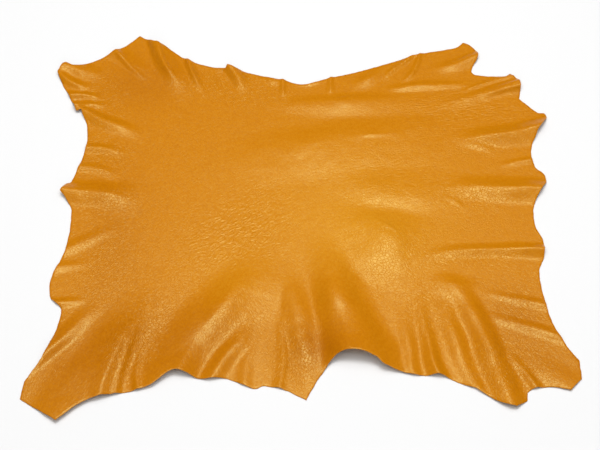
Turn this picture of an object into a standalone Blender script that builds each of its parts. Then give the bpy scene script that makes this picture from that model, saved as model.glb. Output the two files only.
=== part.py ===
"""A finished goat hide laid out grain side up, as one leather sheet in its own folds.

Units are metres, +Z is up. +X runs along the back line from neck to tail, and the
flesh side lies on z = 0. The tables below are in millimetres. The hide is one cut
piece, so the part is one closed solid, named "hide".
"""

from collections import namedtuple
from math import ceil, cos, hypot, pi, sqrt

import bmesh
import bpy
from mathutils import Vector, noise
from mathutils.geometry import delaunay_2d_cdt

MM = 0.001

# Driving dimensions
SHEET_THICKNESS = 1.2 * MM      # finished upholstery goat skin
EDGE_STEP = 8 * MM              # spacing of the points along the cut edge
RIM_STEP = 11.5 * MM            # spacing of the points where the folds are
MIDDLE_STEP = 19 * MM           # spacing of the points in the calm middle
RIM_BAND = 100 * MM             # width of the folded border inside the cut edge
EDGE_CLEARANCE = 0.55           # share of a step kept free between edge and lattice
FLAT_BELOW = 0.2 * MM           # anything lifted less than this lies on the table
FOLD_STEPS = 18                 # pieces of a fold's bowed centre line
RUN_OFF = 80 * MM               # a fold that runs off carries on this far past its last point
FADE_IN = 0.5                   # share of a fold's length in which it comes up from flat
FADE_FLOOR = 0.12               # share of its height that a fold already has at its start
DRIFT = 5 * MM                  # how far the folds wander sideways
DRIFT_LENGTH = 60 * MM          # over this length
UNEVEN = 0.35                   # how much the folds swell and slacken along their way
ALONG_LAYER = 5.4               # layer of the noise for wandering along the length,
ACROSS_LAYER = 9.6              # for wandering across
UNEVEN_LAYER = 2 / 3            # and for the swelling

LEATHER_SRGB = (0.84, 0.53, 0.07)
LEATHER_ROUGHNESS = 0.42

# ---------------------------------------------------------------------------
# The cut edge, four sides, counterclockwise from above. SHARP is a corner left by
# the knife, SOFT is a point on a smooth curve.
# ---------------------------------------------------------------------------
SHARP, SOFT = "sharp", "soft"
EdgePoint = namedtuple("EdgePoint", "place x y turn")

FRONT_EDGE = (
    EdgePoint("left shank toe", -383, -393, SHARP),
    EdgePoint("left shank front", -335, -357, SOFT),
    EdgePoint("left armpit", -239, -331, SOFT),
    EdgePoint("left arch rises", -213, -311, SOFT),
    EdgePoint("left arch top", -196, -307, SOFT),
    EdgePoint("left arch falls", -158, -318, SOFT),
    EdgePoint("second arch", -120, -317, SOFT),
    EdgePoint("second arch foot", -75, -335, SOFT),
    EdgePoint("tip roll", -60, -330, SOFT),
    EdgePoint("tip roll foot", -25, -338, SOFT),
    EdgePoint("belly tip", 7, -355, SHARP),
    EdgePoint("great arch foot", 29, -313, SOFT),
    EdgePoint("great arch rises", 54, -282, SOFT),
    EdgePoint("great arch top", 86, -278, SOFT),
    EdgePoint("great arch falls", 116, -286, SOFT),
    EdgePoint("great arch end", 130, -297, SOFT),
    EdgePoint("flank hollow", 184, -311, SOFT),
    EdgePoint("small arch top", 220, -312, SOFT),
    EdgePoint("small arch end", 250, -325, SOFT),
    EdgePoint("tail lobe root", 274, -335, SOFT),
    EdgePoint("tail lobe front", 316, -363, SOFT),
    EdgePoint("tail lobe tip", 336, -369, SHARP),
    EdgePoint("tail lobe side", 354, -356, SHARP),
    EdgePoint("tail notch", 356, -342, SHARP),
    EdgePoint("right shank front", 363, -336, SOFT),
    EdgePoint("right shank edge", 395, -332, SOFT),
    EdgePoint("right shank toe", 424, -338, SHARP),
)

RIGHT_EDGE = (
    EdgePoint("right shank corner", 443, -317, SHARP),
    EdgePoint("right shank heel", 443, -284, SHARP),
    EdgePoint("right thigh", 424, -256, SOFT),
    EdgePoint("right thigh end", 403, -203, SOFT),
    EdgePoint("rump hollow", 392, -118, SOFT),
    EdgePoint("first ridge foot", 402, -89, SOFT),
    EdgePoint("first ridge top", 404, -55, SOFT),
    EdgePoint("tail hollow", 393, -25, SOFT),
    EdgePoint("tail hollow end", 395, 18, SOFT),
    EdgePoint("second ridge", 419, 63, SHARP),
    EdgePoint("second ridge back", 418, 80, SOFT),
    EdgePoint("rear hollow", 402, 99, SOFT),
    EdgePoint("rear hollow end", 399, 135, SOFT),
    EdgePoint("third ridge foot", 412, 169, SOFT),
    EdgePoint("third ridge knob", 431, 203, SOFT),
    EdgePoint("third ridge back", 428, 214, SOFT),
    EdgePoint("third ridge end", 416, 216, SOFT),
    EdgePoint("ear nick", 386, 247, SHARP),
    EdgePoint("ear front", 390, 279, SOFT),
    EdgePoint("ear top", 375, 304, SOFT),
    EdgePoint("ear back", 365, 298, SOFT),
    EdgePoint("shank nick front", 313, 301, SOFT),
    EdgePoint("shank nick", 305, 310, SOFT),
    EdgePoint("rear shank side", 319, 347, SOFT),
    EdgePoint("rear shank end", 306, 371, SOFT),
)

REAR_EDGE = (
    EdgePoint("rear shank corner", 294, 377, SHARP),
    EdgePoint("rear shank back", 280, 365, SOFT),
    EdgePoint("rear shank root", 211, 349, SOFT),
    EdgePoint("rear belly right", 141, 322, SOFT),
    EdgePoint("rear belly ruffle", 90, 305, SOFT),
    EdgePoint("rear ruffle top", 49, 294, SOFT),
    EdgePoint("rear belly low", 4, 279, SOFT),
    EdgePoint("rear belly ruffle two", -32, 289, SOFT),
    EdgePoint("rear belly left", -93, 305, SOFT),
    EdgePoint("flick foot", -114, 312, SOFT),
    EdgePoint("flick", -134, 319, SHARP),
    EdgePoint("flick back", -137, 313, SHARP),
    EdgePoint("rear flank", -201, 333, SOFT),
    EdgePoint("rear flank end", -248, 367, SOFT),
    EdgePoint("rear hump", -270, 375, SOFT),
)

LEFT_EDGE = (
    EdgePoint("rear left peak", -295, 393, SHARP),
    EdgePoint("neck shoulder", -319, 369, SOFT),
    EdgePoint("neck side", -370, 335, SOFT),
    EdgePoint("neck hollow", -411, 321, SOFT),
    EdgePoint("neck lip", -426, 327, SOFT),
    EdgePoint("neck corner", -438, 306, SHARP),
    EdgePoint("neck front", -428, 281, SOFT),
    EdgePoint("neck front end", -411, 248, SOFT),
    EdgePoint("nape nick", -397, 216, SHARP),
    EdgePoint("nape", -389, 219, SHARP),
    EdgePoint("nape side", -377, 186, SOFT),
    EdgePoint("nape hollow", -375, 140, SOFT),
    EdgePoint("withers rise", -395, 65, SOFT),
    EdgePoint("withers", -403, 60, SOFT),
    EdgePoint("withers point", -411, 42, SHARP),
    EdgePoint("withers foot", -400, 28, SOFT),
    EdgePoint("shoulder hollow", -390, 6, SOFT),
    EdgePoint("shoulder", -394, -73, SOFT),
    EdgePoint("shoulder lobe", -413, -129, SOFT),
    EdgePoint("shoulder lobe end", -411, -166, SOFT),
    EdgePoint("elbow hollow", -391, -191, SOFT),
    EdgePoint("left shank back", -412, -274, SOFT),
    EdgePoint("left shank heel", -439, -322, SHARP),
    EdgePoint("left shank corner", -443, -353, SHARP),
)

# ---------------------------------------------------------------------------
# The folds, going round the hide. Each is a roll of the sheet on a bowed centre line
# through start, middle and end. It rises by three heights, for the same three places.
# foot is how far the roll spreads: round its start, then to the left and the right of
# its end. crest is 0 for a round roll and 1 for a pinched one. A roll RUNS_OFF through
# the cut edge or DIES_OUT at both ends.
# ---------------------------------------------------------------------------
RUNS_OFF, DIES_OUT = "runs off", "dies out"
Fold = namedtuple("Fold", "name start middle end rise foot crest ends")

FRONT_FOLDS = (
    Fold("outer roll", (-320, -167), (-370, -230), (-408, -271), (0, 5, 6), (20, 18, 26), 0.3, RUNS_OFF),
    Fold("toe lift", (-336, -258), (-357, -321), (-383, -386), (0, 3, 6), (40, 60, 60), 0, RUNS_OFF),
    Fold("shank lip", (-236, -140), (-292, -258), (-316, -346), (3, 12, 12), (44, 34, 74), 0.7, RUNS_OFF),
    Fold("left arch", (-53, -81), (-147, -207), (-197, -310), (0, 9, 15), (48, 38, 68), 0.3, RUNS_OFF),
    Fold("second arch", (-74, -199), (-107, -259), (-140, -320), (1, 5, 7), (22, 24, 26), 0.2, RUNS_OFF),
    Fold("belly swell", (-156, -233), (-104, -168), (-40, -73), (4, 6.5, 3), (56, 60, 96), 0, DIES_OUT),
    Fold("belly strand", (-74, -227), (-84, -276), (-87, -324), (0, 1.5, 3), (14, 16, 18), 0.3, RUNS_OFF),
    Fold("tip pleat", (-26, -133), (-30, -243), (-33, -331), (0, 2.5, 4), (12, 12, 16), 0.7, RUNS_OFF),
    Fold("tip roll", (-18, -113), (-8, -205), (22, -351), (1, 7, 3), (22, 44, 30), 0, DIES_OUT),
    Fold("great arch", (27, -25), (54, -164), (86, -283), (5, 15, 27), (34, 84, 62), 0, RUNS_OFF),
    Fold("flank pleat", (164, -163), (169, -252), (178, -310), (0, 4, 5), (18, 16, 18), 0.1, RUNS_OFF),
    Fold("small arch", (193, -132), (201, -242), (217, -314), (0, 6, 9), (16, 18, 20), 0.45, RUNS_OFF),
    Fold("tail pleat", (224, -129), (243, -233), (272, -322), (1, 4.5, 4), (22, 20, 24), 0, RUNS_OFF),
    Fold("tail lobe roll", (229, -109), (287, -225), (324, -361), (2, 9, 10), (24, 30, 30), 0.1, RUNS_OFF),
    Fold("shank pleat", (318, -250), (344, -291), (369, -332), (0, 3, 5), (12, 12, 14), 0.6, RUNS_OFF),
    Fold("right shank roll", (349, -264), (390, -305), (431, -342), (0, 2, 4), (24, 44, 30), 0, RUNS_OFF),
)

RIGHT_FOLDS = (
    Fold("rump pleat 1", (272, -204), (337, -213), (403, -236), (0, 1.6, 3), (14, 12, 16), 0.1, RUNS_OFF),
    Fold("rump pleat 2", (282, -152), (337, -167), (397, -183), (0, 1.6, 2.5), (12, 12, 14), 0.2, RUNS_OFF),
    Fold("first ridge", (224, -77), (303, -72), (406, -75), (1, 5, 9), (18, 14, 20), 0.6, RUNS_OFF),
    Fold("rump swell", (201, -142), (246, -143), (298, -157), (1, 4.5, 1.5), (26, 28, 54), 0, DIES_OUT),
    Fold("saddle ridge", (41, 14), (131, -39), (220, -71), (3, 12, 3), (48, 76, 140), 0, DIES_OUT),
    Fold("waist swell", (14, 66), (151, 46), (286, 32), (0, 5, 1), (40, 60, 42), 0, DIES_OUT),
    Fold("second ridge", (209, 54), (314, 53), (417, 45), (0, 7, 12), (34, 27, 34), 0.5, RUNS_OFF),
    Fold("third ridge fan", (276, 149), (310, 138), (347, 124), (0, 3, 0), (10, 10, 14), 0.4, DIES_OUT),
    Fold("third ridge", (248, 155), (332, 163), (429, 185), (0, 9, 15), (26, 26, 34), 0.6, RUNS_OFF),
    Fold("ear roll", (216, 227), (306, 251), (389, 279), (0, 4, 9), (16, 16, 22), 0.4, RUNS_OFF),
)

REAR_FOLDS = (
    Fold("rear crest", (140, 263), (211, 274), (337, 280), (1, 3.5, 1), (12, 13, 14), 0.3, DIES_OUT),
    Fold("rear shank roll", (220, 309), (267, 321), (311, 341), (0, 3, 7), (14, 16, 22), 0.3, RUNS_OFF),
    Fold("rear ruffle two", (76, 268), (115, 288), (152, 322), (0, 3, 5), (20, 18, 18), 0.1, DIES_OUT),
    Fold("rear curl one", (-21, 286), (10, 284), (44, 295), (1, 2, 3), (14, 14, 14), 0, DIES_OUT),
    Fold("rear curl two", (-71, 290), (-53, 287), (-35, 286), (1, 2, 3), (14, 14, 16), 0, DIES_OUT),
    Fold("flick curl", (-165, 318), (-147, 316), (-127, 315), (0, 2, 6), (14, 14, 14), 0, DIES_OUT),
    Fold("rear flick", (-95, 245), (-112, 286), (-130, 316), (0, 6, 10), (16, 18, 26), 0.3, RUNS_OFF),
    Fold("hump side pleat", (-166, 245), (-194, 291), (-205, 334), (0, 5, 7), (12, 10, 16), 0.8, RUNS_OFF),
    Fold("hump roll", (-194, 236), (-243, 315), (-273, 375), (1, 7, 11), (26, 14, 36), 0, RUNS_OFF),
    Fold("peak pleat one", (-257, 286), (-306, 329), (-341, 355), (0, 4, 7), (18, 20, 24), 0.6, RUNS_OFF),
    Fold("neck lip", (-343, 291), (-384, 310), (-431, 324), (0, 4, 7), (22, 20, 22), 0.2, RUNS_OFF),
    Fold("back swell", (-182, 79), (56, 147), (340, 172), (0, 6.5, 1), (60, 42, 130), 0, DIES_OUT),
    Fold("rear terrace", (-60, 234), (61, 237), (267, 249), (2, 4.5, 3), (18, 21, 46), 0, DIES_OUT),
)

LEFT_FOLDS = (
    Fold("neck pleat one", (-364, 275), (-396, 278), (-429, 300), (0, 4, 6), (12, 14, 18), 0.5, RUNS_OFF),
    Fold("nape ridge one", (-264, 150), (-329, 188), (-387, 217), (0, 5, 7), (20, 20, 16), 0.3, RUNS_OFF),
    Fold("nape ridge two", (-294, 113), (-333, 132), (-376, 137), (0, 3, 5), (14, 14, 12), 0.4, RUNS_OFF),
    Fold("nape ridge three", (-305, 71), (-344, 90), (-382, 97), (0, 2.5, 4), (14, 14, 12), 0.4, RUNS_OFF),
    Fold("withers ridge", (-254, 20), (-331, 36), (-411, 43), (0, 8, 10), (46, 26, 26), 0.5, RUNS_OFF),
    Fold("shoulder pleat", (-296, -25), (-341, -46), (-393, -69), (0, 2, 2.5), (16, 18, 16), 0.1, RUNS_OFF),
    Fold("elbow pleat", (-341, -93), (-374, -101), (-406, -110), (0, 1, 2), (12, 16, 14), 0.2, RUNS_OFF),
    Fold("elbow lip", (-346, -170), (-375, -175), (-407, -177), (0, 2, 4), (12, 14, 12), 0.4, RUNS_OFF),
)

FOLDS = FRONT_FOLDS + RIGHT_FOLDS + REAR_FOLDS + LEFT_FOLDS


def clear_scene():
    for item in list(bpy.data.objects):
        bpy.data.objects.remove(item, do_unlink=True)


# ---------------------------------------------------------------------------
# Outline
# ---------------------------------------------------------------------------
def curve_between(before, start, end, after, share):
    """A point on the smooth curve from start to end, shaped by its two neighbours."""
    span = (end - start).length
    leave = (end - before) * span / max(span + (start - before).length, 1e-9)
    arrive = (after - start) * span / max(span + (after - end).length, 1e-9)
    s, s2, s3 = share, share ** 2, share ** 3
    return (
        start * (2 * s3 - 3 * s2 + 1)
        + leave * (s3 - 2 * s2 + s)
        + end * (3 * s2 - 2 * s3)
        + arrive * (s3 - s2)
    )


def cut_edge():
    """The cut edge as a closed row of points, EDGE_STEP apart or a little less."""
    rows = FRONT_EDGE + RIGHT_EDGE + REAR_EDGE + LEFT_EDGE
    places = [Vector((row.x, row.y)) * MM for row in rows]
    count = len(rows)
    edge = []
    for i, row in enumerate(rows):
        start, end = places[i], places[(i + 1) % count]
        before, after = places[i - 1], places[(i + 2) % count]
        if row.turn == SHARP:
            before = start + (start - end)
        if rows[(i + 1) % count].turn == SHARP:
            after = end + (end - start)
        steps = max(1, ceil((end - start).length / EDGE_STEP))
        for k in range(steps):
            edge.append(curve_between(before, start, end, after, k / steps))
    return edge


def distance_to_edge(x, y, edge):
    """How far inside the cut edge a point lies, or -1 where it lies outside."""
    nearest = 1e9
    inside = False
    for i, b in enumerate(edge):
        a = edge[i - 1]
        run_x, run_y = b.x - a.x, b.y - a.y
        share = ((x - a.x) * run_x + (y - a.y) * run_y) / max(run_x ** 2 + run_y ** 2, 1e-12)
        share = min(max(share, 0.0), 1.0)
        nearest = min(nearest, hypot(a.x + share * run_x - x, a.y + share * run_y - y))
        if (a.y > y) != (b.y > y) and x < a.x + run_x * (y - a.y) / run_y:
            inside = not inside
    return nearest if inside else -1.0


def lattice(edge, step, from_edge, to_edge):
    """Points in offset rows, step apart, in the band between two depths from the edge."""
    left, right = min(p.x for p in edge), max(p.x for p in edge)
    front, rear = min(p.y for p in edge), max(p.y for p in edge)
    row_step = step * sqrt(3) / 2
    points = []
    for row in range(ceil((rear - front) / row_step)):
        y = front + row * row_step
        for column in range(ceil((right - left) / step) + 1):
            x = left + (column + 0.5 * (row % 2)) * step
            if from_edge <= distance_to_edge(x, y, edge) < to_edge:
                points.append(Vector((x, y)))
    return points


# ---------------------------------------------------------------------------
# Height
# ---------------------------------------------------------------------------
def bowed(start, middle, end, share):
    """A value on the parabola through start, middle and end."""
    pull = middle * 2 - (start + end) / 2
    return start * (1 - share) ** 2 + pull * 2 * share * (1 - share) + end * share ** 2


def smooth(share):
    share = min(max(share, 0.0), 1.0)
    return share * share * (3 - 2 * share)


def centre_line(fold):
    """The fold's bowed centre line, carried on past the cut edge where it runs off."""
    start, middle, end = (Vector(p) * MM for p in (fold.start, fold.middle, fold.end))
    line = [bowed(start, middle, end, k / FOLD_STEPS) for k in range(FOLD_STEPS + 1)]
    if fold.ends == RUNS_OFF:
        line.append(line[-1] + (line[-1] - line[-2]).normalized() * RUN_OFF)
    return line


def across(share, crest):
    """Height of the roll across its width, 1 on the centre line and 0 at its foot."""
    if share >= 1:
        return 0.0
    round_roll = cos(pi * share / 2) ** 2
    pinched_roll = max(1 - sqrt(share ** 2 + 0.001), 0.0) ** 1.7
    return (1 - crest) * round_roll + crest * pinched_roll


def along(share, fold):
    """Height of the roll along its length."""
    fade = smooth(share / FADE_IN)
    if fold.ends == DIES_OUT:
        fade = min(fade, smooth((1 - share) / FADE_IN))
    fade = FADE_FLOOR + (1 - FADE_FLOOR) * fade
    return fade * bowed(*fold.rise, share) * MM


def fold_height(x, y, fold, line):
    """Height that one fold gives the sheet at a point."""
    nearest, where, side = 1e9, 0.0, 0.0
    for i in range(len(line) - 1):
        a, b = line[i], line[i + 1]
        run_x, run_y = b.x - a.x, b.y - a.y
        share = ((x - a.x) * run_x + (y - a.y) * run_y) / (run_x ** 2 + run_y ** 2)
        share = min(max(share, 0.0), 1.0)
        off_x, off_y = x - a.x - share * run_x, y - a.y - share * run_y
        gap = hypot(off_x, off_y)
        if gap < nearest:
            nearest, where = gap, min((i + share) / FOLD_STEPS, 1.0)
            side = (run_x * off_y - run_y * off_x) / hypot(run_x, run_y) / max(gap, 1e-9)
    foot_start, foot_left, foot_right = fold.foot
    foot_end = foot_right + (foot_left - foot_right) * smooth((side + 1) / 2)
    foot = (foot_start + (foot_end - foot_start) * where) * MM
    return along(where, fold) * across(nearest / foot, fold.crest)


def layer_of_noise(place, layer):
    """Smooth noise from -1 to 1, different on each layer and the same on every run."""
    return noise.noise(place + Vector((0.0, 0.0, layer)))


def lie_of_the_sheet(points):
    """Height of the flesh side over the table at each point."""
    lines = [centre_line(fold) for fold in FOLDS]
    heights = []
    for point in points:
        place = Vector((point.x, point.y, 0.0)) / DRIFT_LENGTH
        x = point.x + DRIFT * layer_of_noise(place, ALONG_LAYER)
        y = point.y + DRIFT * layer_of_noise(place, ACROSS_LAYER)
        slack = 1 + UNEVEN * layer_of_noise(place, UNEVEN_LAYER)
        height = slack * sum(fold_height(x, y, fold, line) for fold, line in zip(FOLDS, lines))
        heights.append(height if height > FLAT_BELOW else 0.0)
    return heights


# ---------------------------------------------------------------------------
# Material and the hide itself
# ---------------------------------------------------------------------------
def linear(channel):
    return channel / 12.92 if channel <= 0.04045 else ((channel + 0.055) / 1.055) ** 2.4


def finished_leather():
    material = bpy.data.materials.new("finished_leather")
    material.use_nodes = True
    shader = material.node_tree.nodes["Principled BSDF"]
    shader.inputs["Base Color"].default_value = (*(linear(c) for c in LEATHER_SRGB), 1.0)
    shader.inputs["Roughness"].default_value = LEATHER_ROUGHNESS
    shader.inputs["Metallic"].default_value = 0.0
    return material


def make_hide():
    edge = cut_edge()
    count = len(edge)
    rim = lattice(edge, RIM_STEP, EDGE_CLEARANCE * EDGE_STEP, RIM_BAND)
    middle = lattice(edge, MIDDLE_STEP, RIM_BAND + EDGE_CLEARANCE * RIM_STEP, 1e9)
    border = [(i, (i + 1) % count) for i in range(count)]
    points, _, faces, _, _, _ = delaunay_2d_cdt(edge + rim + middle, border, [], 1, 1e-7)
    heights = lie_of_the_sheet(points)

    mesh = bpy.data.meshes.new("hide")
    mesh.from_pydata([(p.x, p.y, z) for p, z in zip(points, heights)], [], faces)
    sheet = bmesh.new()
    sheet.from_mesh(mesh)
    for face in sheet.faces:
        if face.normal.z < 0:
            face.normal_flip()
    sheet.to_mesh(mesh)
    sheet.free()
    mesh.shade_smooth()
    mesh.materials.append(finished_leather())

    hide = bpy.data.objects.new("hide", mesh)
    bpy.context.collection.objects.link(hide)
    wall = hide.modifiers.new("thickness", "SOLIDIFY")
    wall.thickness = SHEET_THICKNESS
    wall.offset = 1.0       # the flesh side stays where it lies, the grain side is above
    wall.use_even_offset = True
    return hide


clear_scene()
make_hide()
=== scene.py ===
from collections import namedtuple
from math import ceil, cos, pi, radians, sin, sqrt

import bpy
import numpy as np
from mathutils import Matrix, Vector, noise
from mathutils.geometry import delaunay_2d_cdt


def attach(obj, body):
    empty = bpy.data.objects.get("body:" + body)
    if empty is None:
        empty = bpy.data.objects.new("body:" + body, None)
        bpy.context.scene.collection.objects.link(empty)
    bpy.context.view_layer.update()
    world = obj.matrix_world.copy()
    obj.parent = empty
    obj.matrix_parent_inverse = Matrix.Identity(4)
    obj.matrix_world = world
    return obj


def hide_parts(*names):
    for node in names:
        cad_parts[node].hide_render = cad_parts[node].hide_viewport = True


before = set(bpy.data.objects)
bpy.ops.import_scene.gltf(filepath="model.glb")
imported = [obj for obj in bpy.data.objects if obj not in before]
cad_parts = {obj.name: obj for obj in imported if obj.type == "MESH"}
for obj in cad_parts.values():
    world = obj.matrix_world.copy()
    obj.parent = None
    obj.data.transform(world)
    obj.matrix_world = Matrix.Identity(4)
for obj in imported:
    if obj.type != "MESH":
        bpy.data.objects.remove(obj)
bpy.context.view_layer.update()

# ---------------------------------------------------------------------------
# The view. The hide lies on a table and is looked at from in front and above,
# square to its long side, through a long lens.
# ---------------------------------------------------------------------------
MM = 0.001              # one millimetre in Blender's metres
VIEW_ELEVATION = radians(56)
VIEW_DISTANCE = 2.75    # metres
VIEW_LENS = 98          # millimetres, as the sensor is
VIEW_SENSOR = 36
VIEW_AIM = Vector((-2.9, -22.6, 0.0)) * MM

camera_data = bpy.data.cameras.new("view")
camera_data.lens = VIEW_LENS
camera_data.sensor_width = VIEW_SENSOR
camera = bpy.data.objects.new("view", camera_data)
bpy.context.collection.objects.link(camera)
towards_camera = Vector((0.0, -cos(VIEW_ELEVATION), sin(VIEW_ELEVATION)))
camera.location = VIEW_AIM + towards_camera * VIEW_DISTANCE
camera.rotation_euler = (pi / 2 - VIEW_ELEVATION, 0.0, 0.0)
bpy.context.scene.camera = camera

# ---------------------------------------------------------------------------
# The hide. One whole goat skin, finished on the grain side and raw suede on the
# flesh side, trimmed round with a knife. It lies loose, so it stands up in soft
# folds where the shanks, belly and neck pull it, and lies flat in between.
# ---------------------------------------------------------------------------
# Every size of the hide is in millimetres, from the middle of the cut piece: x runs
# from the neck on the left to the tail on the right, y from the front edge to the rear.

# The cut edge, anticlockwise from the left front shank. At a sharp place the knife
# turned a corner, and a soft one lies on a smooth curve through its neighbours.
SHARP, SOFT = "sharp", "soft"
EdgePoint = namedtuple("EdgePoint", "place x y turn")

FRONT_EDGE = (
    EdgePoint("left shank toe", -383, -393, SHARP),
    EdgePoint("left shank front", -335, -357, SOFT),
    EdgePoint("left armpit", -239, -331, SOFT),
    EdgePoint("left arch rises", -213, -311, SOFT),
    EdgePoint("left arch top", -196, -307, SOFT),
    EdgePoint("left arch falls", -158, -318, SOFT),
    EdgePoint("second arch", -120, -317, SOFT),
    EdgePoint("second arch foot", -75, -335, SOFT),
    EdgePoint("tip roll", -60, -330, SOFT),
    EdgePoint("tip roll foot", -25, -338, SOFT),
    EdgePoint("belly tip", 7, -355, SHARP),
    EdgePoint("great arch foot", 29, -313, SOFT),
    EdgePoint("great arch rises", 54, -282, SOFT),
    EdgePoint("great arch top", 86, -278, SOFT),
    EdgePoint("great arch falls", 116, -286, SOFT),
    EdgePoint("great arch end", 130, -297, SOFT),
    EdgePoint("flank hollow", 184, -311, SOFT),
    EdgePoint("small arch top", 220, -312, SOFT),
    EdgePoint("small arch end", 250, -325, SOFT),
    EdgePoint("tail lobe root", 274, -335, SOFT),
    EdgePoint("tail lobe front", 316, -363, SOFT),
    EdgePoint("tail lobe tip", 336, -369, SHARP),
    EdgePoint("tail lobe side", 354, -356, SHARP),
    EdgePoint("tail notch", 356, -342, SHARP),
    EdgePoint("right shank front", 363, -336, SOFT),
    EdgePoint("right shank edge", 395, -332, SOFT),
    EdgePoint("right shank toe", 424, -338, SHARP),
)

RIGHT_EDGE = (
    EdgePoint("right shank corner", 443, -317, SHARP),
    EdgePoint("right shank heel", 443, -284, SHARP),
    EdgePoint("right thigh", 424, -256, SOFT),
    EdgePoint("right thigh end", 403, -203, SOFT),
    EdgePoint("rump hollow", 392, -118, SOFT),
    EdgePoint("first ridge foot", 402, -89, SOFT),
    EdgePoint("first ridge top", 404, -55, SOFT),
    EdgePoint("tail hollow", 393, -25, SOFT),
    EdgePoint("tail hollow end", 395, 18, SOFT),
    EdgePoint("second ridge", 419, 63, SHARP),
    EdgePoint("second ridge back", 418, 80, SOFT),
    EdgePoint("rear hollow", 402, 99, SOFT),
    EdgePoint("rear hollow end", 399, 135, SOFT),
    EdgePoint("third ridge foot", 412, 169, SOFT),
    EdgePoint("third ridge knob", 431, 203, SOFT),
    EdgePoint("third ridge back", 428, 214, SOFT),
    EdgePoint("third ridge end", 416, 216, SOFT),
    EdgePoint("ear nick", 386, 247, SHARP),
    EdgePoint("ear front", 390, 279, SOFT),
    EdgePoint("ear top", 375, 304, SOFT),
    EdgePoint("ear back", 365, 298, SOFT),
    EdgePoint("shank nick front", 313, 301, SOFT),
    EdgePoint("shank nick", 305, 310, SOFT),
    EdgePoint("rear shank side", 319, 347, SOFT),
    EdgePoint("rear shank end", 306, 371, SOFT),
)

REAR_EDGE = (
    EdgePoint("rear shank corner", 294, 377, SHARP),
    EdgePoint("rear shank back", 280, 365, SOFT),
    EdgePoint("rear shank root", 211, 349, SOFT),
    EdgePoint("rear belly right", 141, 322, SOFT),
    EdgePoint("rear belly ruffle", 90, 305, SOFT),
    EdgePoint("rear ruffle top", 49, 294, SOFT),
    EdgePoint("rear belly low", 4, 279, SOFT),
    EdgePoint("rear belly ruffle two", -32, 289, SOFT),
    EdgePoint("rear belly left", -93, 305, SOFT),
    EdgePoint("flick foot", -114, 312, SOFT),
    EdgePoint("flick", -134, 319, SHARP),
    EdgePoint("flick back", -137, 313, SHARP),
    EdgePoint("rear flank", -201, 333, SOFT),
    EdgePoint("rear flank end", -248, 367, SOFT),
    EdgePoint("rear hump", -270, 375, SOFT),
)

LEFT_EDGE = (
    EdgePoint("rear left peak", -295, 393, SHARP),
    EdgePoint("neck shoulder", -319, 369, SOFT),
    EdgePoint("neck side", -370, 335, SOFT),
    EdgePoint("neck hollow", -411, 321, SOFT),
    EdgePoint("neck lip", -426, 327, SOFT),
    EdgePoint("neck corner", -438, 306, SHARP),
    EdgePoint("neck front", -428, 281, SOFT),
    EdgePoint("neck front end", -411, 248, SOFT),
    EdgePoint("nape nick", -397, 216, SHARP),
    EdgePoint("nape", -389, 219, SHARP),
    EdgePoint("nape side", -377, 186, SOFT),
    EdgePoint("nape hollow", -375, 140, SOFT),
    EdgePoint("withers rise", -395, 65, SOFT),
    EdgePoint("withers", -403, 60, SOFT),
    EdgePoint("withers point", -411, 42, SHARP),
    EdgePoint("withers foot", -400, 28, SOFT),
    EdgePoint("shoulder hollow", -390, 6, SOFT),
    EdgePoint("shoulder", -394, -73, SOFT),
    EdgePoint("shoulder lobe", -413, -129, SOFT),
    EdgePoint("shoulder lobe end", -411, -166, SOFT),
    EdgePoint("elbow hollow", -391, -191, SOFT),
    EdgePoint("left shank back", -412, -274, SOFT),
    EdgePoint("left shank heel", -439, -322, SHARP),
    EdgePoint("left shank corner", -443, -353, SHARP),
)

# The knife does not run true: it wanders over a centimetre or so and nicks the edge.
EDGE_STEP = 3.0         # spacing of the points along the cut edge
WANDER = 0.7            # how far the cut strays to either side
WANDER_LENGTH = 14.0
WANDER_LAYER = 0.0      # which slice of the noise the wander is read from
NICKS = 0.5             # depth of the small nicks
NICK_LENGTH = 5.0
NICK_LAYER = 9.0


def smooth_between(before, start, end, after, share):
    """A point on the smooth curve from start to end, shaped by its two neighbours."""
    span = np.linalg.norm(end - start)
    leave = (end - before) * span / (span + np.linalg.norm(start - before))
    arrive = (after - start) * span / (span + np.linalg.norm(after - end))
    s, s2, s3 = share, share ** 2, share ** 3
    return (
        start * (2 * s3 - 3 * s2 + 1)
        + leave * (s3 - 2 * s2 + s)
        + end * (3 * s2 - 2 * s3)
        + arrive * (s3 - s2)
    )


def knife_cut(rows):
    """The cut edge as points about EDGE_STEP apart, and the way out of the hide at each."""
    places = [np.array((row.x, row.y), float) for row in rows]
    count = len(rows)
    line = []
    for i, row in enumerate(rows):
        start, end = places[i], places[(i + 1) % count]
        before, after = places[i - 1], places[(i + 2) % count]
        if row.turn == SHARP:
            before = start + (start - end)
        if rows[(i + 1) % count].turn == SHARP:
            after = end + (end - start)
        steps = max(2, round(np.linalg.norm(end - start) / EDGE_STEP))
        line += [smooth_between(before, start, end, after, k / steps) for k in range(steps)]
    line = np.array(line)
    along = np.roll(line, -1, 0) - np.roll(line, 1, 0)
    outward = np.stack((along[:, 1], -along[:, 0]), 1) / np.linalg.norm(along, axis=1)[:, None]
    wander = [
        WANDER * noise.noise(Vector((x, y, WANDER_LAYER)) / WANDER_LENGTH)
        + NICKS * noise.noise(Vector((x, y, NICK_LAYER)) / NICK_LENGTH)
        for x, y in line
    ]
    return line + outward * np.array(wander)[:, None], outward


edge, outward = knife_cut(FRONT_EDGE + RIGHT_EDGE + REAR_EDGE + LEFT_EDGE)
edge_count = len(edge)

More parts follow.
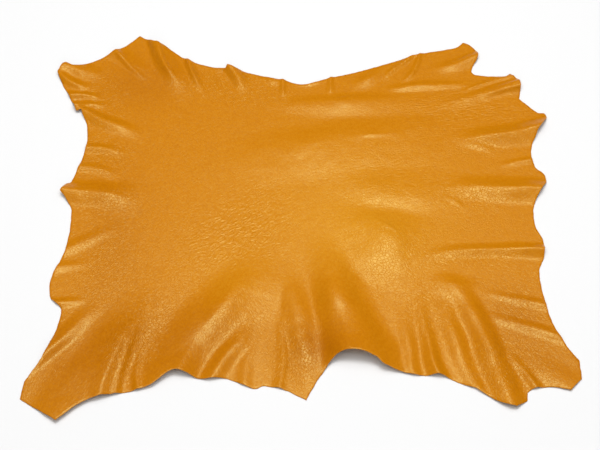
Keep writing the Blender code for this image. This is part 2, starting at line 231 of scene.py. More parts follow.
# The folds. Each crest runs on a bow through start, middle and end. Its rise is the
# height at those three places. Its foot is the half width at the start, then at the end
# on the left and on the right of the way it runs, so that a roll can lean. A crest of 0
# is a round roll and one of 1 a pinched pleat. A fold runs off the edge of the hide or
# dies out before it.
RUNS_OFF, DIES_OUT = "runs off", "dies out"
Fold = namedtuple("Fold", "name start middle end rise foot crest ends")

FRONT_FOLDS = (
    Fold("outer roll", (-320, -167), (-370, -230), (-408, -271), (0, 5, 6), (20, 18, 26), 0.3, RUNS_OFF),
    Fold("toe lift", (-336, -258), (-357, -321), (-383, -386), (0, 3, 6), (40, 60, 60), 0, RUNS_OFF),
    Fold("shank lip", (-236, -140), (-292, -258), (-316, -346), (3, 12, 12), (44, 34, 74), 0.7, RUNS_OFF),
    Fold("shank strand", (-256, -195), (-278, -265), (-291, -336), (0, 2, 3), (9, 10, 10), 0.5, RUNS_OFF),
    Fold("left armpit pleat",
         (-238, -227), (-258, -280), (-260, -328), (0, 2, 3), (9, 10, 10), 0.5, RUNS_OFF),
    Fold("left arch", (-53, -81), (-147, -207), (-197, -310), (0, 9, 15), (48, 38, 68), 0.3, RUNS_OFF),
    Fold("second arch", (-74, -199), (-107, -259), (-140, -320), (1, 5, 7), (22, 24, 26), 0.2, RUNS_OFF),
    Fold("belly swell", (-156, -233), (-104, -168), (-40, -73), (4, 6.5, 3), (56, 60, 96), 0, DIES_OUT),
    Fold("belly strand", (-74, -227), (-84, -276), (-87, -324), (0, 1.5, 3), (14, 16, 18), 0.3, RUNS_OFF),
    Fold("tip pleat", (-26, -133), (-30, -243), (-33, -331), (0, 2.5, 4), (12, 12, 16), 0.7, RUNS_OFF),
    Fold("tip roll", (-18, -113), (-8, -205), (22, -351), (1, 7, 3), (22, 44, 30), 0, DIES_OUT),
    Fold("great arch", (27, -25), (54, -164), (86, -283), (5, 15, 27), (34, 84, 62), 0, RUNS_OFF),
    Fold("flank pleat", (164, -163), (169, -252), (178, -310), (0, 4, 5), (18, 16, 18), 0.1, RUNS_OFF),
    Fold("small arch", (193, -132), (201, -242), (217, -314), (0, 6, 9), (16, 18, 20), 0.45, RUNS_OFF),
    Fold("tail pleat", (224, -129), (243, -233), (272, -322), (1, 4.5, 4), (22, 20, 24), 0, RUNS_OFF),
    Fold("tail lobe roll", (229, -109), (287, -225), (324, -361), (2, 9, 10), (24, 30, 30), 0.1, RUNS_OFF),
    Fold("shank pleat", (318, -250), (344, -291), (369, -332), (0, 3, 5), (12, 12, 14), 0.6, RUNS_OFF),
    Fold("right shank roll", (349, -264), (390, -305), (431, -342), (0, 2, 4), (24, 44, 30), 0, RUNS_OFF),
)

RIGHT_FOLDS = (
    Fold("rump pleat 1", (272, -204), (337, -213), (403, -236), (0, 1.6, 3), (14, 12, 16), 0.1, RUNS_OFF),
    Fold("rump pleat 2", (282, -152), (337, -167), (397, -183), (0, 1.6, 2.5), (12, 12, 14), 0.2, RUNS_OFF),
    Fold("first ridge", (169, -98), (280, -74), (406, -73), (1, 4.5, 9), (16, 14, 20), 0.6, RUNS_OFF),
    Fold("rump swell", (201, -142), (246, -143), (298, -157), (1, 4.5, 1.5), (26, 28, 54), 0, DIES_OUT),
    Fold("saddle ridge", (41, 8), (136, -48), (225, -78), (3, 11, 6), (54, 76, 140), 0, DIES_OUT),
    Fold("waist swell", (14, 66), (150, 44), (286, 32), (0, 4.5, 1), (40, 66, 54), 0, DIES_OUT),
    Fold("waist wrinkle", (128, -21), (148, -35), (168, -48), (0, 1.5, 0), (6, 6, 6), 0.6, DIES_OUT),
    Fold("second ridge", (209, 54), (314, 53), (417, 45), (0, 7, 12), (34, 27, 34), 0.5, RUNS_OFF),
    Fold("flank crease", (235, 32), (262, 21), (291, -4), (0, 1.2, 0), (8, 7, 7), 0.6, DIES_OUT),
    Fold("rear hollow pleat", (335, 96), (367, 105), (400, 111), (0, 2, 3), (10, 10, 10), 0.5, RUNS_OFF),
    Fold("third ridge fan", (276, 149), (310, 139), (347, 124), (0, 2, 0), (10, 12, 12), 0.2, DIES_OUT),
    Fold("third ridge", (248, 156), (332, 163), (429, 185), (0, 9, 15), (26, 26, 34), 0.6, RUNS_OFF),
    Fold("ear roll", (216, 227), (306, 251), (389, 279), (0, 4, 9), (16, 16, 22), 0.4, RUNS_OFF),
    Fold("ear pleat one", (264, 249), (307, 272), (355, 288), (0, 3, 3), (8, 7, 7), 0.8, RUNS_OFF),
    Fold("ear pleat two", (306, 243), (345, 257), (389, 270), (0, 3, 3), (8, 7, 7), 0.8, RUNS_OFF),
)

REAR_FOLDS = (
    Fold("rear crest", (140, 263), (211, 274), (337, 280), (1, 3.5, 1), (12, 13, 14), 0.3, DIES_OUT),
    Fold("rear shank roll", (220, 309), (267, 321), (311, 341), (0, 3, 7), (14, 16, 22), 0.3, RUNS_OFF),
    Fold("rear shank pleat", (179, 281), (198, 302), (214, 348), (1, 3.5, 4), (10, 8, 9), 0.7, RUNS_OFF),
    Fold("rear ruffle one", (147, 281), (159, 307), (185, 334), (0, 3, 4), (8, 8, 8), 0.6, RUNS_OFF),
    Fold("rear ruffle two", (76, 268), (115, 288), (152, 322), (0, 3, 5), (20, 18, 18), 0.1, DIES_OUT),
    Fold("rear curl one", (-21, 286), (10, 284), (44, 295), (1, 2, 3), (14, 14, 14), 0, DIES_OUT),
    Fold("rear curl two", (-71, 290), (-53, 287), (-35, 286), (1, 2, 3), (14, 14, 16), 0, DIES_OUT),
    Fold("flick curl", (-165, 318), (-147, 316), (-127, 315), (0, 2, 6), (14, 14, 14), 0, DIES_OUT),
    Fold("rear pleat one", (50, 248), (51, 270), (51, 292), (2, 3.5, 3.5), (10, 9, 8), 0.8, RUNS_OFF),
    Fold("rear pleat two", (-31, 244), (-33, 265), (-33, 288), (2, 3.5, 3.5), (10, 8, 9), 0.8, RUNS_OFF),
    Fold("rear flick", (-95, 245), (-112, 286), (-130, 316), (0, 6, 10), (16, 18, 26), 0.3, RUNS_OFF),
    Fold("hump side pleat", (-166, 245), (-194, 291), (-205, 334), (0, 5, 7), (12, 10, 16), 0.8, RUNS_OFF),
    Fold("hump roll", (-194, 236), (-243, 315), (-273, 375), (1, 7, 11), (26, 14, 36), 0, RUNS_OFF),
    Fold("hump pleat", (-213, 267), (-239, 307), (-256, 347), (0, 3, 3), (10, 9, 8), 0.7, RUNS_OFF),
    Fold("peak pleat one", (-257, 286), (-306, 329), (-341, 355), (0, 4, 7), (18, 20, 24), 0.6, RUNS_OFF),
    Fold("peak pleat two", (-267, 277), (-301, 311), (-324, 340), (0, 3, 3), (10, 8, 8), 0.7, RUNS_OFF),
    Fold("neck lip", (-343, 291), (-384, 310), (-431, 324), (0, 4, 7), (22, 20, 22), 0.2, RUNS_OFF),
    Fold("back swell", (-182, 79), (56, 148), (340, 172), (0, 5.5, 1), (60, 52, 130), 0, DIES_OUT),
    Fold("back crease", (77, 159), (128, 165), (183, 174), (0, 1.4, 0), (7, 7, 10), 0.6, DIES_OUT),
    Fold("rear terrace", (-60, 234), (61, 237), (267, 249), (2, 4, 3), (20, 26, 52), 0, DIES_OUT),
)

LEFT_FOLDS = (
    Fold("neck pleat one", (-364, 275), (-396, 278), (-429, 300), (0, 4, 6), (12, 14, 18), 0.5, RUNS_OFF),
    Fold("neck pleat two", (-344, 245), (-376, 254), (-415, 255), (0, 3.5, 5), (10, 12, 12), 0.6, RUNS_OFF),
    Fold("nape pleat", (-332, 229), (-368, 234), (-402, 229), (0, 3, 5), (10, 10, 10), 0.6, RUNS_OFF),
    Fold("nape ridge one", (-264, 150), (-329, 188), (-387, 217), (0, 5, 7), (20, 20, 16), 0.3, RUNS_OFF),
    Fold("nape ridge two", (-294, 113), (-333, 132), (-376, 137), (0, 3, 5), (14, 14, 12), 0.4, RUNS_OFF),
    Fold("nape ridge three", (-305, 71), (-344, 90), (-382, 97), (0, 2.5, 4), (14, 14, 12), 0.4, RUNS_OFF),
    Fold("withers ridge", (-254, 20), (-331, 36), (-411, 43), (0, 8, 10), (46, 26, 26), 0.5, RUNS_OFF),
    Fold("shoulder pleat", (-296, -25), (-341, -46), (-393, -69), (0, 2, 2.5), (16, 18, 16), 0.1, RUNS_OFF),
    Fold("elbow pleat", (-341, -93), (-374, -101), (-406, -110), (0, 1, 2), (12, 16, 14), 0.2, RUNS_OFF),
    Fold("elbow lip", (-346, -170), (-375, -175), (-407, -177), (0, 2, 4), (12, 14, 12), 0.4, RUNS_OFF),
)
FOLDS = FRONT_FOLDS + RIGHT_FOLDS + REAR_FOLDS + LEFT_FOLDS

FOLD_STEPS = 18         # straight runs that each bowed crest is measured along
RUN_OFF = 80.0          # how far past the edge a fold that runs off keeps its height
FADE_IN = 0.5           # share of a fold's length over which it comes up
FADE_FLOOR = 0.12       # share of its height that it starts from
FLAT_BELOW = 0.05       # what stands lower than this lies flat on the table
PINCH_POWER = 1.7       # how hollow the flanks of a pinched pleat are
PINCH_ROUND = 0.001     # what rounds its very top, as a share of its foot squared
DRIFT = 5.0             # how far the crests wander sideways from their bows
DRIFT_LENGTH = 60.0     # span of that wander, and of the swelling
ALONG_LAYER = 5.4       # which slice of the noise the wander in x is read from
ACROSS_LAYER = 9.6      # and the wander in y
UNEVEN = 0.35           # share by which a fold swells and sinks along its way
UNEVEN_LAYER = 2 / 3
RUMPLE = 0.5            # small unrest of the skin where it stands off the table
RUMPLE_LENGTH = 17.0
RUMPLE_LAYER = 80.0
RUMPLE_FROM = 4.0       # height from which the rumple is at its full strength
TOUCHING = 1e-6         # places closer than this are one


def bowed(start, middle, end, share):
    """A value on the parabola through start, middle and end."""
    pull = 2 * middle - (start + end) / 2
    return start * (1 - share) ** 2 + pull * 2 * share * (1 - share) + end * share ** 2


def fold_height(points, fold):
    """Height in millimetres that one fold gives the sheet at each point."""
    start, middle, end = (np.array(p, float) for p in (fold.start, fold.middle, fold.end))
    s = np.linspace(0, 1, FOLD_STEPS + 1)[:, None]
    line = bowed(start, middle, end, s)
    if fold.ends == RUNS_OFF:
        last = line[-1] - line[-2]
        line = np.vstack((line, line[-1] + last / np.linalg.norm(last) * RUN_OFF))
    reach = max(fold.foot)
    close = ((points > line.min(0) - reach) & (points < line.max(0) + reach)).all(1)
    near_points = points[close]
    nearest, where, lean = (np.full(len(near_points), v) for v in (np.inf, 0.0, 0.0))
    for i in range(len(line) - 1):
        run = line[i + 1] - line[i]
        share = ((near_points - line[i]) @ run / (run @ run)).clip(0, 1)
        off = near_points - line[i] - share[:, None] * run
        gap = np.hypot(off[:, 0], off[:, 1])
        closer = gap < nearest
        where = np.where(closer, np.minimum((i + share) / FOLD_STEPS, 1), where)
        side = (run[0] * off[:, 1] - run[1] * off[:, 0]) / np.linalg.norm(run)
        side = side / np.maximum(gap, TOUCHING)
        lean = np.where(closer, side, lean)
        nearest = np.minimum(nearest, gap)
    lean = (lean + 1) / 2
    lean = lean * lean * (3 - 2 * lean)
    foot_start, foot_left, foot_right = fold.foot
    foot_end = foot_right + (foot_left - foot_right) * lean
    across = nearest / (foot_start + (foot_end - foot_start) * where)
    round_roll = np.cos(pi * across.clip(0, 1) / 2) ** 2
    pinched_roll = (1 - np.sqrt(across ** 2 + PINCH_ROUND)).clip(0, 1) ** PINCH_POWER
    fade = (where / FADE_IN).clip(0, 1)
    if fold.ends == DIES_OUT:
        fade = np.minimum(fade, ((1 - where) / FADE_IN).clip(0, 1))
    fade = FADE_FLOOR + (1 - FADE_FLOOR) * fade * fade * (3 - 2 * fade)
    profile = (1 - fold.crest) * round_roll + fold.crest * pinched_roll
    height = np.zeros(len(points))
    height[close] = fade * bowed(*fold.rise, where) * profile
    return height


def layer_of_noise(points, layer):
    """Smooth noise from -1 to 1 at each point, different on each layer."""
    return np.array([
        noise.noise(Vector((x / DRIFT_LENGTH, y / DRIFT_LENGTH, layer))) for x, y in points
    ])


def lie_of_the_sheet(points):
    """Height of the flesh side over the table at each point, in millimetres."""
    along, across = layer_of_noise(points, ALONG_LAYER), layer_of_noise(points, ACROSS_LAYER)
    drifted = points + DRIFT * np.stack([along, across], axis=1)
    slack = layer_of_noise(points, UNEVEN_LAYER)
    height = sum(fold_height(drifted, fold) for fold in FOLDS) * (1 + UNEVEN * slack)
    rumple = np.array([
        noise.noise(Vector((x, y, RUMPLE_LAYER)) / RUMPLE_LENGTH) for x, y in points
    ])
    height = height + RUMPLE * rumple * (height / RUMPLE_FROM).clip(0, 1)
    return np.where(height > FLAT_BELOW, height, 0.0)


# The mesh. Each side is filled with triangles of even size inside the cut edge.
SHEET_THICKNESS = 1.2
GRAIN_STEP = 3.1        # mesh spacing on the grain side, fine enough for the narrowest pleats
FLESH_STEP = 7.0        # mesh spacing on the flesh side, which carries the same folds unseen
EDGE_ROUND = 0.3        # how far the knife edge is worn round on both sides
EDGE_CLEARANCE = 0.6    # share of the spacing that the filling keeps from the edge
FILL_INSIDE = 1         # delaunay_2d_cdt's word for triangles inside the border alone


def inside_depth(points, line):
    """How far inside the cut edge each point lies, negative outside it."""
    nearest = np.full(len(points), np.inf)
    inside = np.zeros(len(points), bool)
    x, y = points[:, 0], points[:, 1]
    for a, b in zip(np.roll(line, 1, 0), line):
        run = b - a
        share = (((x - a[0]) * run[0] + (y - a[1]) * run[1]) / (run @ run)).clip(0, 1)
        gap = np.hypot(a[0] + share * run[0] - x, a[1] + share * run[1] - y)
        nearest = np.minimum(nearest, gap)
        if a[1] != b[1]:
            crosses = ((a[1] > y) != (b[1] > y)) & (x < a[0] + run[0] * (y - a[1]) / run[1])
            inside ^= crosses
    return np.where(inside, nearest, -nearest)


def lattice(line, step, clearance):
    """Points in offset rows inside the cut edge, every other point of which is enough to tell."""
    low, high = line.min(0), line.max(0)
    row_step = step * sqrt(3) / 2
    rows, columns = ceil((high[1] - low[1]) / row_step), ceil((high[0] - low[0]) / step) + 1
    row, column = np.divmod(np.arange(rows * columns), columns)
    points = np.stack((low[0] + (column + 0.5 * (row % 2)) * step, low[1] + row * row_step), 1)
    return points[inside_depth(points, line[::2]) > clearance]


def face_of_hide(step, loop):
    """One side of the sheet: the loop's own points first, then the lattice inside it."""
    inner = lattice(loop, step, EDGE_CLEARANCE * step)
    border = [(i, (i + 1) % len(loop)) for i in range(len(loop))]
    flat = [Vector(p) for p in np.vstack((loop, inner))]
    points, _, faces, _, _, _ = delaunay_2d_cdt(flat, border, [], FILL_INSIDE, TOUCHING)
    return np.array([tuple(p) for p in points]), np.array(faces)


def facing(faces, xy, up):
    """The triangles, each turned so that it faces up, or down where up is false."""
    a, b, c = xy[faces[:, 0]], xy[faces[:, 1]], xy[faces[:, 2]]
    turn = (b[:, 0] - a[:, 0]) * (c[:, 1] - a[:, 1]) - (b[:, 1] - a[:, 1]) * (c[:, 0] - a[:, 0])
    return np.where(((turn > 0) == up)[:, None], faces, faces[:, ::-1])


def strip(lower, upper):
    """The faces between two closed rows of points along the cut edge."""
    i = np.arange(edge_count)
    j = (i + 1) % edge_count
    return [tuple(f) for f in np.stack((lower + i, lower + j, upper + j, upper + i), 1)]


# The grain side and the flesh side stop short of the edge by its worn round, and three
# strips close the sheet between them: under round, cut face and upper round.
worn = edge - outward * EDGE_ROUND
grain_xy, grain_faces = face_of_hide(GRAIN_STEP, worn)
flesh_xy, flesh_faces = face_of_hide(FLESH_STEP, worn)
edge_z = lie_of_the_sheet(edge)
grain = np.column_stack((grain_xy, lie_of_the_sheet(grain_xy) + SHEET_THICKNESS))
flesh = np.column_stack((flesh_xy, lie_of_the_sheet(flesh_xy)))
under_ring = np.column_stack((edge, edge_z + EDGE_ROUND))
upper_ring = np.column_stack((edge, edge_z + SHEET_THICKNESS - EDGE_ROUND))
points = np.vstack((grain, flesh, under_ring, upper_ring))
flesh_first = len(grain)
ring_first = flesh_first + len(flesh)

faces = [tuple(f) for f in facing(grain_faces, grain_xy, True)]
faces += [tuple(f) for f in facing(flesh_faces, flesh_xy, False) + flesh_first]
faces += strip(flesh_first, ring_first)
faces += strip(ring_first, ring_first + edge_count)
faces += strip(ring_first + edge_count, 0)

mesh = bpy.data.meshes.new("goat_hide")
mesh.from_pydata((points * MM).tolist(), [], faces)
mesh.validate()
mesh.shade_smooth()
hide = bpy.data.objects.new("goat_hide", mesh)
bpy.context.collection.objects.link(hide)

# Where the grain is coarser. The loose skin and the ridges crackle into cells, the left
# flank and leg crinkle along slanting lines, and the saddle and the ear are drawn into
# long lines. Each mark is an oval with soft borders: its middle, its reach both ways,
# its turn in degrees, and the strength of the three kinds.
PLAIN_CRACKLE = 0.3     # the light crackle of all the rest
SkinMark = namedtuple("SkinMark", "name x y reach_x reach_y turn crackle crinkle lines")
SKIN_MARKS = (
    SkinMark("belly crackle", 140, -75, 120, 125, 0, 0.6, 0.0, 0.0),
    SkinMark("tip crackle", -15, -270, 50, 85, 0, 1.0, 0.0, 0.0),
    SkinMark("belly strand crackle", -95, -215, 60, 70, 0, 0.7, 0.0, 0.0),
    SkinMark("shank crackle", 330, -300, 90, 90, 0, 0.8, 0.0, 0.0),
    SkinMark("rump crackle", 215, -195, 60, 90, 0, 0.7, 0.0, 0.0),
    SkinMark("thigh crackle", 355, -190, 70, 70, 0, 0.6, 0.0, 0.0),
    SkinMark("first ridge crackle", 265, -85, 120, 30, 0, 0.8, 0.0, 0.0),
    SkinMark("second ridge crackle", 300, 35, 110, 35, 0, 0.8, 0.0, 0.2),
    SkinMark("third ridge crackle", 330, 150, 100, 35, 8, 0.8, 0.0, 0.2),
    SkinMark("rear crackle", -130, 275, 170, 50, -18, 0.8, 0.0, 0.0),
    SkinMark("neck crackle", -360, 240, 70, 110, 0, 0.7, 0.0, 0.0),
    SkinMark("nape crackle", -345, 120, 65, 60, 0, 0.8, 0.0, 0.0),
    SkinMark("withers crackle", -330, 25, 75, 45, 0, 0.8, 0.0, 0.0),
    SkinMark("waist crackle", 125, 40, 75, 45, 0, 0.6, 0.0, 0.3),
    SkinMark("shoulder crackle", -330, -60, 80, 190, 0, 0.55, 0.0, 0.0),
    SkinMark("left crinkle", -100, -30, 105, 70, 45, 0.2, 1.0, 0.0),
    SkinMark("leg crinkle", -268, -250, 50, 100, -16, 1.0, 0.5, 0.0),
    SkinMark("saddle lines", 170, 70, 140, 45, -10, 0.2, 0.0, 0.8),
    SkinMark("ear lines", 300, 230, 150, 60, 8, 0.3, 0.0, 1.0),
)

# How deep the dye went in, with painted light and shade laid over it. The skin over the ribs
# and flanks is made paler, partly as thin dye and partly as painted sheen, and the neck,
# shoulder, belly and shanks browner, partly as deep dye and partly as painted shade. By the
# belly tip the darkening is painted shadow alone, and in the left flank the paleness is
# painted sheen alone. Each row is an oval as above, with 1 for darker and -1 for paler.
USUAL_DEPTH = 0.5
DYE_AND_LIGHT_SWING = 0.25
DyeAndPaintedLight = namedtuple("DyeAndPaintedLight", "name x y reach_x reach_y turn deep")
DYE_AND_PAINTED_LIGHT = (
    DyeAndPaintedLight("thin over the ribs", 74, 42, 200, 140, 0, -0.6),
    DyeAndPaintedLight("thin on the flank", 105, -55, 115, 85, 0, -0.75),
    # painted sheen
    DyeAndPaintedLight("painted sheen in the left flank", -110, -130, 70, 60, 0, -0.5),
    DyeAndPaintedLight("deep in the left shank", -370, -291, 110, 100, 0, 0.9),
    DyeAndPaintedLight("deep along the shoulder", -315, -50, 60, 170, 0, 0.6),
    DyeAndPaintedLight("deep in the left belly", -179, -245, 110, 75, 0, 0.8),
    DyeAndPaintedLight("deep at the neck", -286, 283, 80, 50, 0, 0.7),
    # painted shadow where the great arch stands over the table
    DyeAndPaintedLight("painted shadow by the belly tip", 28, -262, 45, 45, 0, 1.2),
    DyeAndPaintedLight("deep in the thigh", 345, -200, 60, 60, 0, 0.8),
    DyeAndPaintedLight("deep in the right shank", 390, -290, 90, 60, 0, 0.6),
)


def bell(points, row):
    """How near each point is to an oval's middle, from 1 there down to 0 past its reach."""
    turn = radians(row.turn)
    x, y = points[:, 0] - row.x, points[:, 1] - row.y
    along = (x * cos(turn) + y * sin(turn)) / row.reach_x
    across = (y * cos(turn) - x * sin(turn)) / row.reach_y
    return np.exp(-(along * along + across * across))


# Red, green and blue hold how strong the three kinds are, and alpha how deep the dye is,
# with the painted sheen and painted shade above laid into it.
skin = np.zeros((len(points), 4))
skin[:, 0] = PLAIN_CRACKLE
for row in SKIN_MARKS:
    near = bell(points, row)
    for kind, strength in enumerate((row.crackle, row.crinkle, row.lines)):
        skin[:, kind] = np.maximum(skin[:, kind], strength * near)
dye_and_light_swing = sum(row.deep * bell(points, row) for row in DYE_AND_PAINTED_LIGHT)
skin[:, 3] = USUAL_DEPTH + DYE_AND_LIGHT_SWING * dye_and_light_swing
layer = mesh.color_attributes.new("skin_marks_and_painted_light", "FLOAT_COLOR", "POINT")
layer.data.foreach_set("color", skin.ravel().tolist())


def linear(hex_colour):
    """An sRGB hex colour as linear red, green, blue and alpha."""
    channels = [int(hex_colour[i:i + 2], 16) / 255 for i in (1, 3, 5)]
    return (*(c / 12.92 if c <= 0.04045 else ((c + 0.055) / 1.055) ** 2.4 for c in channels), 1.0)


def add(tree, kind, links=(), **settings):
    """Add a node, set its properties and sockets, and link (socket, node, output) rows into it."""
    node = tree.nodes.new(kind)
    for name, value in settings.items():
        if hasattr(node, name):
            setattr(node, name, value)
        else:
            node.inputs[name.replace("_", " ")].default_value = value
    for socket, source, output in links:
        tree.links.new(source.outputs[output], node.inputs[socket])
    return node


# Finished goat leather: drum dyed, then topped with a thin clear resin and plated. The
# eye gets a satin sheen along every fold, broken by the grain, and a warm tan that turns
# browner where the dye lies deep and where shade is painted in, and paler where sheen is
# painted in. The finish over the dye keeps its sheen yellow.
PEBBLE = 1.8            # width of a grain pebble
PEBBLE_DEPTH = 0.08
PORE_SPAN = 4.3         # span of the soft unevenness that the hair pores leave
PORE_DEPTH = 0.21
GRAIN_TURN = (0.5, 0.4, 0.6)    # radians about the three axes, so that no row of it shows
CRACKLE_CELL = 5.0      # crackled cells, drawn as wide as the biggest so that they show
CRACKLE_WIDTH = 0.16    # how far a line reaches into its cells, as a share of a cell
CRACKLE_DEPTH = 0.32
CRINKLE_CELL = (13.0, 6.0)      # length and width of a crinkled cell
CRINKLE_TURN = 48       # degrees from the back line
CRINKLE_WIDTH = 0.3
CRINKLE_DEPTH = 0.34
LONG_LINE = (18.0, 3.4)         # length and spacing of the long lines
LONG_LINE_TURN = 6
LONG_LINE_DEPTH = 1.0
BEND = 12.0             # how far the patterns are pushed about, so that no row is straight
BEND_SPAN = 17.0
PORE_PATCH = 0.1        # how much the dye depth changes from pore to pore
NOISE_LOW, NOISE_HIGH = 0.35, 0.65                  # what a noise mostly stays between
# thin, usual and deep dye; the thin colour also serves the painted sheen and the deep one the painted shade
DYE_AND_LIGHT_COLOURS = ("#BD8018", "#AD6801", "#944F00")     # thin, usual and deep dye
SHEEN_COLOUR = "#F9FFAB"

leather = bpy.data.materials.new("finished_goat_leather")
leather.use_nodes = True
tree = leather.node_tree
shader = tree.nodes["Principled BSDF"]
place = add(tree, "ShaderNodeTexCoord")
skin_marks_and_light = add(tree, "ShaderNodeAttribute", attribute_name="skin_marks_and_painted_light")
mark = add(tree, "ShaderNodeSeparateColor", [("Color", skin_marks_and_light, "Color")])
push = add(
    tree, "ShaderNodeTexNoise", [("Vector", place, "Object")],
    Scale=1 / (BEND_SPAN * MM), Detail=2,
)
bend = add(
    tree, "ShaderNodeVectorMath", [(0, push, "Color")],
    operation="SCALE", Scale=BEND * MM,
)
bent = add(
    tree, "ShaderNodeVectorMath", [(0, place, "Object"), (1, bend, "Vector")],
    operation="ADD",
)

# Pebbles and pores, which cover the whole hide.
askew = add(tree, "ShaderNodeMapping", [("Vector", bent, "Vector")], Rotation=GRAIN_TURN)
pebbles = add(
    tree, "ShaderNodeTexVoronoi", [("Vector", askew, "Vector")],
    feature="SMOOTH_F1", Scale=1 / (PEBBLE * MM), Smoothness=0.4,
)
pores = add(
    tree, "ShaderNodeTexNoise", [("Vector", askew, "Vector")],
    Scale=1 / (PORE_SPAN * MM), Detail=4, Roughness=0.6,
)
pebble_bump = add(
    tree, "ShaderNodeBump", [("Height", pebbles, "Distance")],
    Strength=1.0, Distance=PEBBLE_DEPTH * MM,
)
pore_bump = add(
    tree, "ShaderNodeBump", [("Height", pores, "Fac"), ("Normal", pebble_bump, "Normal")],
    Strength=1.0, Distance=PORE_DEPTH * MM,
)

# Crackle: cells parted by fine lines, as strong as the marks say.
crackle = add(
    tree, "ShaderNodeTexVoronoi", [("Vector", bent, "Vector")],
    feature="DISTANCE_TO_EDGE", Scale=1 / (CRACKLE_CELL * MM),
)
crackle_lines = add(
    tree, "ShaderNodeMapRange", [("Value", crackle, "Distance")],
    interpolation_type="SMOOTHSTEP", From_Max=CRACKLE_WIDTH,
)
crackle_bump = add(
    tree, "ShaderNodeBump",
    [("Height", crackle_lines, "Result"), ("Strength", mark, "Red"), ("Normal", pore_bump, "Normal")],
    Distance=CRACKLE_DEPTH * MM,
)

# Crinkle: longer cells that slant across the hide.
slanted = add(
    tree, "ShaderNodeMapping", [("Vector", bent, "Vector")],
    vector_type="TEXTURE", Rotation=(0, 0, radians(CRINKLE_TURN)),
    Scale=(CRINKLE_CELL[0] * MM, CRINKLE_CELL[1] * MM, 1),
)
crinkle = add(
    tree, "ShaderNodeTexVoronoi", [("Vector", slanted, "Vector")],
    feature="DISTANCE_TO_EDGE", Scale=1,
)
crinkle_lines = add(
    tree, "ShaderNodeMapRange", [("Value", crinkle, "Distance")],
    interpolation_type="SMOOTHSTEP", From_Max=CRINKLE_WIDTH,
)
crinkle_bump = add(
    tree, "ShaderNodeBump",
    [("Height", crinkle_lines, "Result"), ("Strength", mark, "Green"), ("Normal", crackle_bump, "Normal")],
    Distance=CRINKLE_DEPTH * MM,
)

# Long lines, where the skin was drawn out along the back.
drawn_out = add(
    tree, "ShaderNodeMapping", [("Vector", bent, "Vector")],
    vector_type="TEXTURE", Rotation=(0, 0, radians(LONG_LINE_TURN)),
    Scale=(LONG_LINE[0] * MM, LONG_LINE[1] * MM, 1),
)
long_lines = add(tree, "ShaderNodeTexNoise", [("Vector", drawn_out, "Vector")], Scale=1, Detail=2)
long_bump = add(
    tree, "ShaderNodeBump",
    [("Height", long_lines, "Fac"), ("Strength", mark, "Blue"), ("Normal", crinkle_bump, "Normal")],
    Distance=LONG_LINE_DEPTH * MM,
)
tree.links.new(long_bump.outputs["Normal"], shader.inputs["Normal"])

# The dye, with its painted sheen and painted shade, from the depth in the marks and a little
# from the pores.
patchy = add(
    tree, "ShaderNodeMapRange", [("Value", pores, "Fac")],
    From_Min=NOISE_LOW, From_Max=NOISE_HIGH, To_Min=PORE_PATCH, To_Max=-PORE_PATCH,
)
depth = add(
    tree, "ShaderNodeMath", [(0, skin_marks_and_light, "Alpha"), (1, patchy, "Result")],
    operation="ADD",
)
dye_and_light_ramp = add(tree, "ShaderNodeValToRGB", [("Fac", depth, "Value")])
dye_and_light_ramp.color_ramp.elements.new(USUAL_DEPTH)
for stop, colour in zip(dye_and_light_ramp.color_ramp.elements, DYE_AND_LIGHT_COLOURS):
    stop.color = linear(colour)
tree.links.new(dye_and_light_ramp.outputs["Color"], shader.inputs["Base Color"])
shader.inputs["Roughness"].default_value = 0.305
shader.inputs["Specular IOR Level"].default_value = 0.46
shader.inputs["Specular Tint"].default_value = linear(SHEEN_COLOUR)
hide.data.materials.append(leather)

# Suede flesh side: the same hide split and buffed on its inner side. It has a short
# matt nap, paler than the grain side, with no sheen but the soft one of its fibres.
NAP = 1.4               # clumps of nap, coarser than the single fibres so that they show
NAP_DEPTH = 0.5
# The nap colour follows the clump height: painted shade in the hollows between clumps and painted light on
# their tops.
NAP_SHADE_AND_LIGHT_COLOURS = ("#B98240", "#D0A062")

suede = bpy.data.materials.new("suede_flesh_side")
suede.use_nodes = True
tree = suede.node_tree
shader = tree.nodes["Principled BSDF"]
place = add(tree, "ShaderNodeTexCoord")
nap = add(
    tree, "ShaderNodeTexNoise", [("Vector", place, "Object")],
    Scale=1 / (NAP * MM), Detail=5, Roughness=0.7,
)
nap_shade_and_light = add(tree, "ShaderNodeValToRGB", [("Fac", nap, "Fac")])
for stop, position, colour in zip(nap_shade_and_light.color_ramp.elements, (NOISE_LOW, NOISE_HIGH), NAP_SHADE_AND_LIGHT_COLOURS):
    stop.position = position
    stop.color = linear(colour)
fibres = add(
    tree, "ShaderNodeBump", [("Height", nap, "Fac")],
    Strength=1.0, Distance=NAP_DEPTH * MM,
)
tree.links.new(nap_shade_and_light.outputs["Color"], shader.inputs["Base Color"])
tree.links.new(fibres.outputs["Normal"], shader.inputs["Normal"])
shader.inputs["Roughness"].default_value = 0.95
shader.inputs["Specular IOR Level"].default_value = 0.1
shader.inputs["Sheen Weight"].default_value = 0.4
hide.data.materials.append(suede)

# Raw cut edge: the knife lays the dyed fibres bare, matt and a little browner.
cut = bpy.data.materials.new("raw_cut_edge")
cut.use_nodes = True
shader = cut.node_tree.nodes["Principled BSDF"]
shader.inputs["Base Color"].default_value = linear("#A8712C")
shader.inputs["Roughness"].default_value = 0.85
shader.inputs["Specular IOR Level"].default_value = 0.15
hide.data.materials.append(cut)

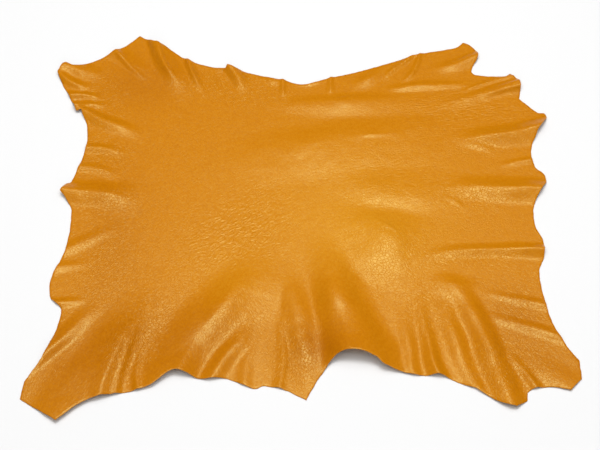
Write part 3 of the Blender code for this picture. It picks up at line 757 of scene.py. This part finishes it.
# The faces take the three materials in turn: grain side, flesh side, and three strips.
side_of_face = [0] * len(grain_faces) + [1] * len(flesh_faces) + [2] * (3 * edge_count)
mesh.polygons.foreach_set("material_index", side_of_face)

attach(hide, "root")
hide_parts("hide")

# ---------------------------------------------------------------------------
# The table. A wide bench top covered with white paper, which the hide lies on. It is
# pale and matt, so that it takes a soft shadow and shows nothing of the lights.
# ---------------------------------------------------------------------------
TABLE_WIDTH = 12        # metres, so that its rim lies far outside the view

bpy.ops.object.select_all(action="DESELECT")
bpy.ops.mesh.primitive_plane_add(size=TABLE_WIDTH)
table = bpy.context.object
table.name = "table"
paper = bpy.data.materials.new("white_paper")
paper.use_nodes = True
shader = paper.node_tree.nodes["Principled BSDF"]
shader.inputs["Base Color"].default_value = linear("#CECECE")
shader.inputs["Roughness"].default_value = 0.9
shader.inputs["Specular IOR Level"].default_value = 0.0
table.data.materials.append(paper)

# ---------------------------------------------------------------------------
# The light. One softbox hangs overhead, a little behind the hide, and draws the sheen
# along the folds. The ceiling bounce and the front fill only lift the shade.
# ---------------------------------------------------------------------------
world = bpy.data.worlds.new("studio")
bpy.context.scene.world = world
world.use_nodes = True
world.node_tree.nodes["Background"].inputs["Color"].default_value = (1, 1, 1, 1)
world.node_tree.nodes["Background"].inputs["Strength"].default_value = 0.22
world.cycles_visibility.glossy = False
bpy.context.scene.view_settings.view_transform = "Standard"


def softbox(name, place, width, depth, power, sheen):
    """A soft rectangular light in metres and watts, aimed at the middle of the hide."""
    light = bpy.data.lights.new(name, "AREA")
    light.shape = "RECTANGLE"
    light.size, light.size_y = width, depth
    light.energy = power
    lamp = bpy.data.objects.new(name, light)
    bpy.context.collection.objects.link(lamp)
    lamp.location = place
    lamp.rotation_euler = (-Vector(place)).to_track_quat("-Z", "Y").to_euler()
    lamp.visible_glossy = sheen


softbox("overhead_softbox", (0.05, 0.85, 4.5), width=1.7, depth=1.4, power=122, sheen=True)
softbox("ceiling_bounce", (0.0, 0.2, 3.0), width=4.0, depth=4.0, power=112, sheen=False)
softbox("front_fill", (0.0, -3.2, 1.3), width=2.6, depth=1.4, power=20, sheen=False)
